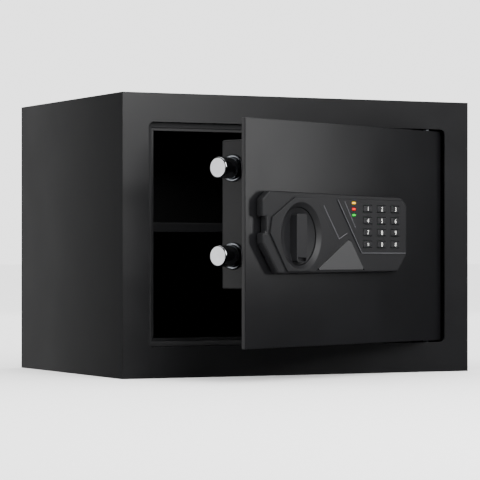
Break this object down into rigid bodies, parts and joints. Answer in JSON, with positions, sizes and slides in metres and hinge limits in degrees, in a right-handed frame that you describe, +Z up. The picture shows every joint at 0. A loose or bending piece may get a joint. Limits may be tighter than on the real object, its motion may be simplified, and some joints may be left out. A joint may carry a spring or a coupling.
{
  "type": "digital security safe",
  "caption": "Small steel home safe with an inset door ajar, thrown round bolts, and a lock panel with knob, keypad and emergency key cover.",
  "frame": {"origin": "centre of the cabinet footprint, on its underside", "axes": "+X to the right seen from the front, +Y to the back, +Z up; the door stands ajar 26 degrees at rest"},
  "size_m": [0.35, 0.3732, 0.25],
  "materials": {
    "body_powder_coat": "satin black powder coat",
    "door_powder_coat": "satin black powder coat",
    "seal_foam": "closed-cell foam",
    "mat_felt": "felt",
    "zinc_steel": "zinc plated",
    "brass": "machined",
    "chrome": "polished",
    "black_moulding": "fine moulded grain",
    "solenoid_grey": "wound coil in a steel yoke",
    "cover_grey": "fine moulded grain",
    "board_green": "solder mask",
    "key_grey": "fine moulded grain",
    "lamp_yellow": "clear tinted lens",
    "lamp_red": "clear tinted lens",
    "lamp_green": "clear tinted lens",
    "cell_wrap": "shrink wrapped steel can",
    "reset_red": "moulded"
  },
  "bodies": {
    "cabinet": {"cabinet_shell": "body_powder_coat", "back_panel": "body_powder_coat", "opening_frame": "body_powder_coat", "door_seal": "seal_foam", "floor_mat": "mat_felt", "shelf_bracket_left": "body_powder_coat", "shelf_bracket_right": "body_powder_coat", "upper_hinge_plate": "zinc_steel", "lower_hinge_plate": "zinc_steel", "upper_hinge_bush": "brass", "lower_hinge_bush": "brass"},
    "loose_shelf": {"shelf": "body_powder_coat"},
    "knob_assembly": {"knob": "black_moulding", "knob_spindle": "zinc_steel", "crank": "zinc_steel"},
    "boltwork": {"bolt_carriage": "zinc_steel", "upper_bolt": "chrome", "lower_bolt": "chrome"},
    "plunger": {"solenoid_plunger": "zinc_steel"},
    "emergency_plug": {"lock_plug": "brass", "lock_cam": "zinc_steel"},
    "emergency_cover": {"key_cover": "cover_grey"},
    "hatch_lid": {"battery_lid": "black_moulding"},
    "reset": {"reset_button": "reset_red"},
    "press_key_0": {"key_0": "key_grey"},
    "press_key_1": {"key_1": "key_grey"},
    "press_key_2": {"key_2": "key_grey"},
    "press_key_3": {"key_3": "key_grey"},
    "press_key_4": {"key_4": "key_grey"},
    "press_key_5": {"key_5": "key_grey"},
    "press_key_6": {"key_6": "key_grey"},
    "press_key_7": {"key_7": "key_grey"},
    "press_key_8": {"key_8": "key_grey"},
    "press_key_9": {"key_9": "key_grey"},
    "press_key_hash": {"key_hash": "key_grey"},
    "press_key_star": {"key_star": "key_grey"},
    "door": {"battery_cell_1": "cell_wrap", "battery_cell_2": "cell_wrap", "battery_cell_3": "cell_wrap", "battery_cell_4": "cell_wrap", "battery_tray": "black_moulding", "circuit_board": "board_green", "cover_screw_1": "zinc_steel", "cover_screw_2": "zinc_steel", "cover_screw_3": "zinc_steel", "cover_screw_4": "zinc_steel", "door_plate": "door_powder_coat", "green_lamp": "lamp_green", "inner_cover": "body_powder_coat", "knob_surround": "black_moulding", "lock_barrel": "zinc_steel", "lower_bolt_bush": "zinc_steel", "lower_hinge_pivot": "zinc_steel", "panel_housing": "black_moulding", "plunger_spring": "zinc_steel", "red_lamp": "lamp_red", "solenoid": "solenoid_grey", "upper_bolt_bush": "zinc_steel", "upper_hinge_pivot": "zinc_steel", "yellow_lamp": "lamp_yellow"}
  },
  "joints": [
    {"name": "door_hinge", "type": "hinge", "parent": "cabinet", "child": "door", "pos_m": [0.134, -0.118, 0.125], "axis": [0, 0, 1], "range_deg": [-26, 74]},
    {"name": "shelf_lift", "type": "slide", "parent": "cabinet", "child": "loose_shelf", "axis": [0, 0, 1], "range_m": [0, 0.04]},
    {"name": "knob_turn", "type": "hinge", "parent": "door", "child": "knob_assembly", "pos_m": [-0.05689, -0.21889, 0.124], "axis": [-0.4384, 0.8988, 0], "range_deg": [0, 90]},
    {"name": "bolt_slide", "type": "slide", "parent": "door", "child": "boltwork", "axis": [0.8988, 0.4384, 0], "range_m": [0, 0.0198]},
    {"name": "plunger_slide", "type": "slide", "parent": "door", "child": "plunger", "axis": [0, 0, -1], "range_m": [-0.005, 0], "deforming": ["plunger_spring"]},
    {"name": "key_turn", "type": "hinge", "parent": "door", "child": "emergency_plug", "pos_m": [-0.00129, -0.18621, 0.104], "axis": [0.4384, -0.8988, 0], "range_deg": [0, 65]},
    {"name": "key_cover_pull", "type": "slide", "parent": "door", "child": "emergency_cover", "axis": [0.4384, -0.8988, 0], "range_m": [0, 0.015]},
    {"name": "battery_lid_slide", "type": "slide", "parent": "door", "child": "hatch_lid", "axis": [0, 0, 1], "range_m": [0, 0.04]},
    {"name": "reset_press", "type": "slide", "parent": "door", "child": "reset", "axis": [0.4384, -0.8988, 0], "range_m": [0, 0.0015], "stiffness_N_per_m": 800, "springref_m": -0.0005},
    {"name": "press_1", "type": "slide", "parent": "door", "child": "press_key_1", "axis": [-0.4384, 0.8988, 0], "range_m": [0, 0.0008], "stiffness_N_per_m": 1000, "springref_m": -0.0004},
    {"name": "press_2", "type": "slide", "parent": "door", "child": "press_key_2", "axis": [-0.4384, 0.8988, 0], "range_m": [0, 0.0008], "stiffness_N_per_m": 1000, "springref_m": -0.0004},
    {"name": "press_3", "type": "slide", "parent": "door", "child": "press_key_3", "axis": [-0.4384, 0.8988, 0], "range_m": [0, 0.0008], "stiffness_N_per_m": 1000, "springref_m": -0.0004},
    {"name": "press_4", "type": "slide", "parent": "door", "child": "press_key_4", "axis": [-0.4384, 0.8988, 0], "range_m": [0, 0.0008], "stiffness_N_per_m": 1000, "springref_m": -0.0004},
    {"name": "press_5", "type": "slide", "parent": "door", "child": "press_key_5", "axis": [-0.4384, 0.8988, 0], "range_m": [0, 0.0008], "stiffness_N_per_m": 1000, "springref_m": -0.0004},
    {"name": "press_6", "type": "slide", "parent": "door", "child": "press_key_6", "axis": [-0.4384, 0.8988, 0], "range_m": [0, 0.0008], "stiffness_N_per_m": 1000, "springref_m": -0.0004},
    {"name": "press_7", "type": "slide", "parent": "door", "child": "press_key_7", "axis": [-0.4384, 0.8988, 0], "range_m": [0, 0.0008], "stiffness_N_per_m": 1000, "springref_m": -0.0004},
    {"name": "press_8", "type": "slide", "parent": "door", "child": "press_key_8", "axis": [-0.4384, 0.8988, 0], "range_m": [0, 0.0008], "stiffness_N_per_m": 1000, "springref_m": -0.0004},
    {"name": "press_9", "type": "slide", "parent": "door", "child": "press_key_9", "axis": [-0.4384, 0.8988, 0], "range_m": [0, 0.0008], "stiffness_N_per_m": 1000, "springref_m": -0.0004},
    {"name": "press_star", "type": "slide", "parent": "door", "child": "press_key_star", "axis": [-0.4384, 0.8988, 0], "range_m": [0, 0.0008], "stiffness_N_per_m": 1000, "springref_m": -0.0004},
    {"name": "press_0", "type": "slide", "parent": "door", "child": "press_key_0", "axis": [-0.4384, 0.8988, 0], "range_m": [0, 0.0008], "stiffness_N_per_m": 1000, "springref_m": -0.0004},
    {"name": "press_hash", "type": "slide", "parent": "door", "child": "press_key_hash", "axis": [-0.4384, 0.8988, 0], "range_m": [0, 0.0008], "stiffness_N_per_m": 1000, "springref_m": -0.0004}
  ],
  "couplings": [
    {"joint": "knob_turn", "follows": "bolt_slide", "rad_per_m": 79.333}
  ]
}
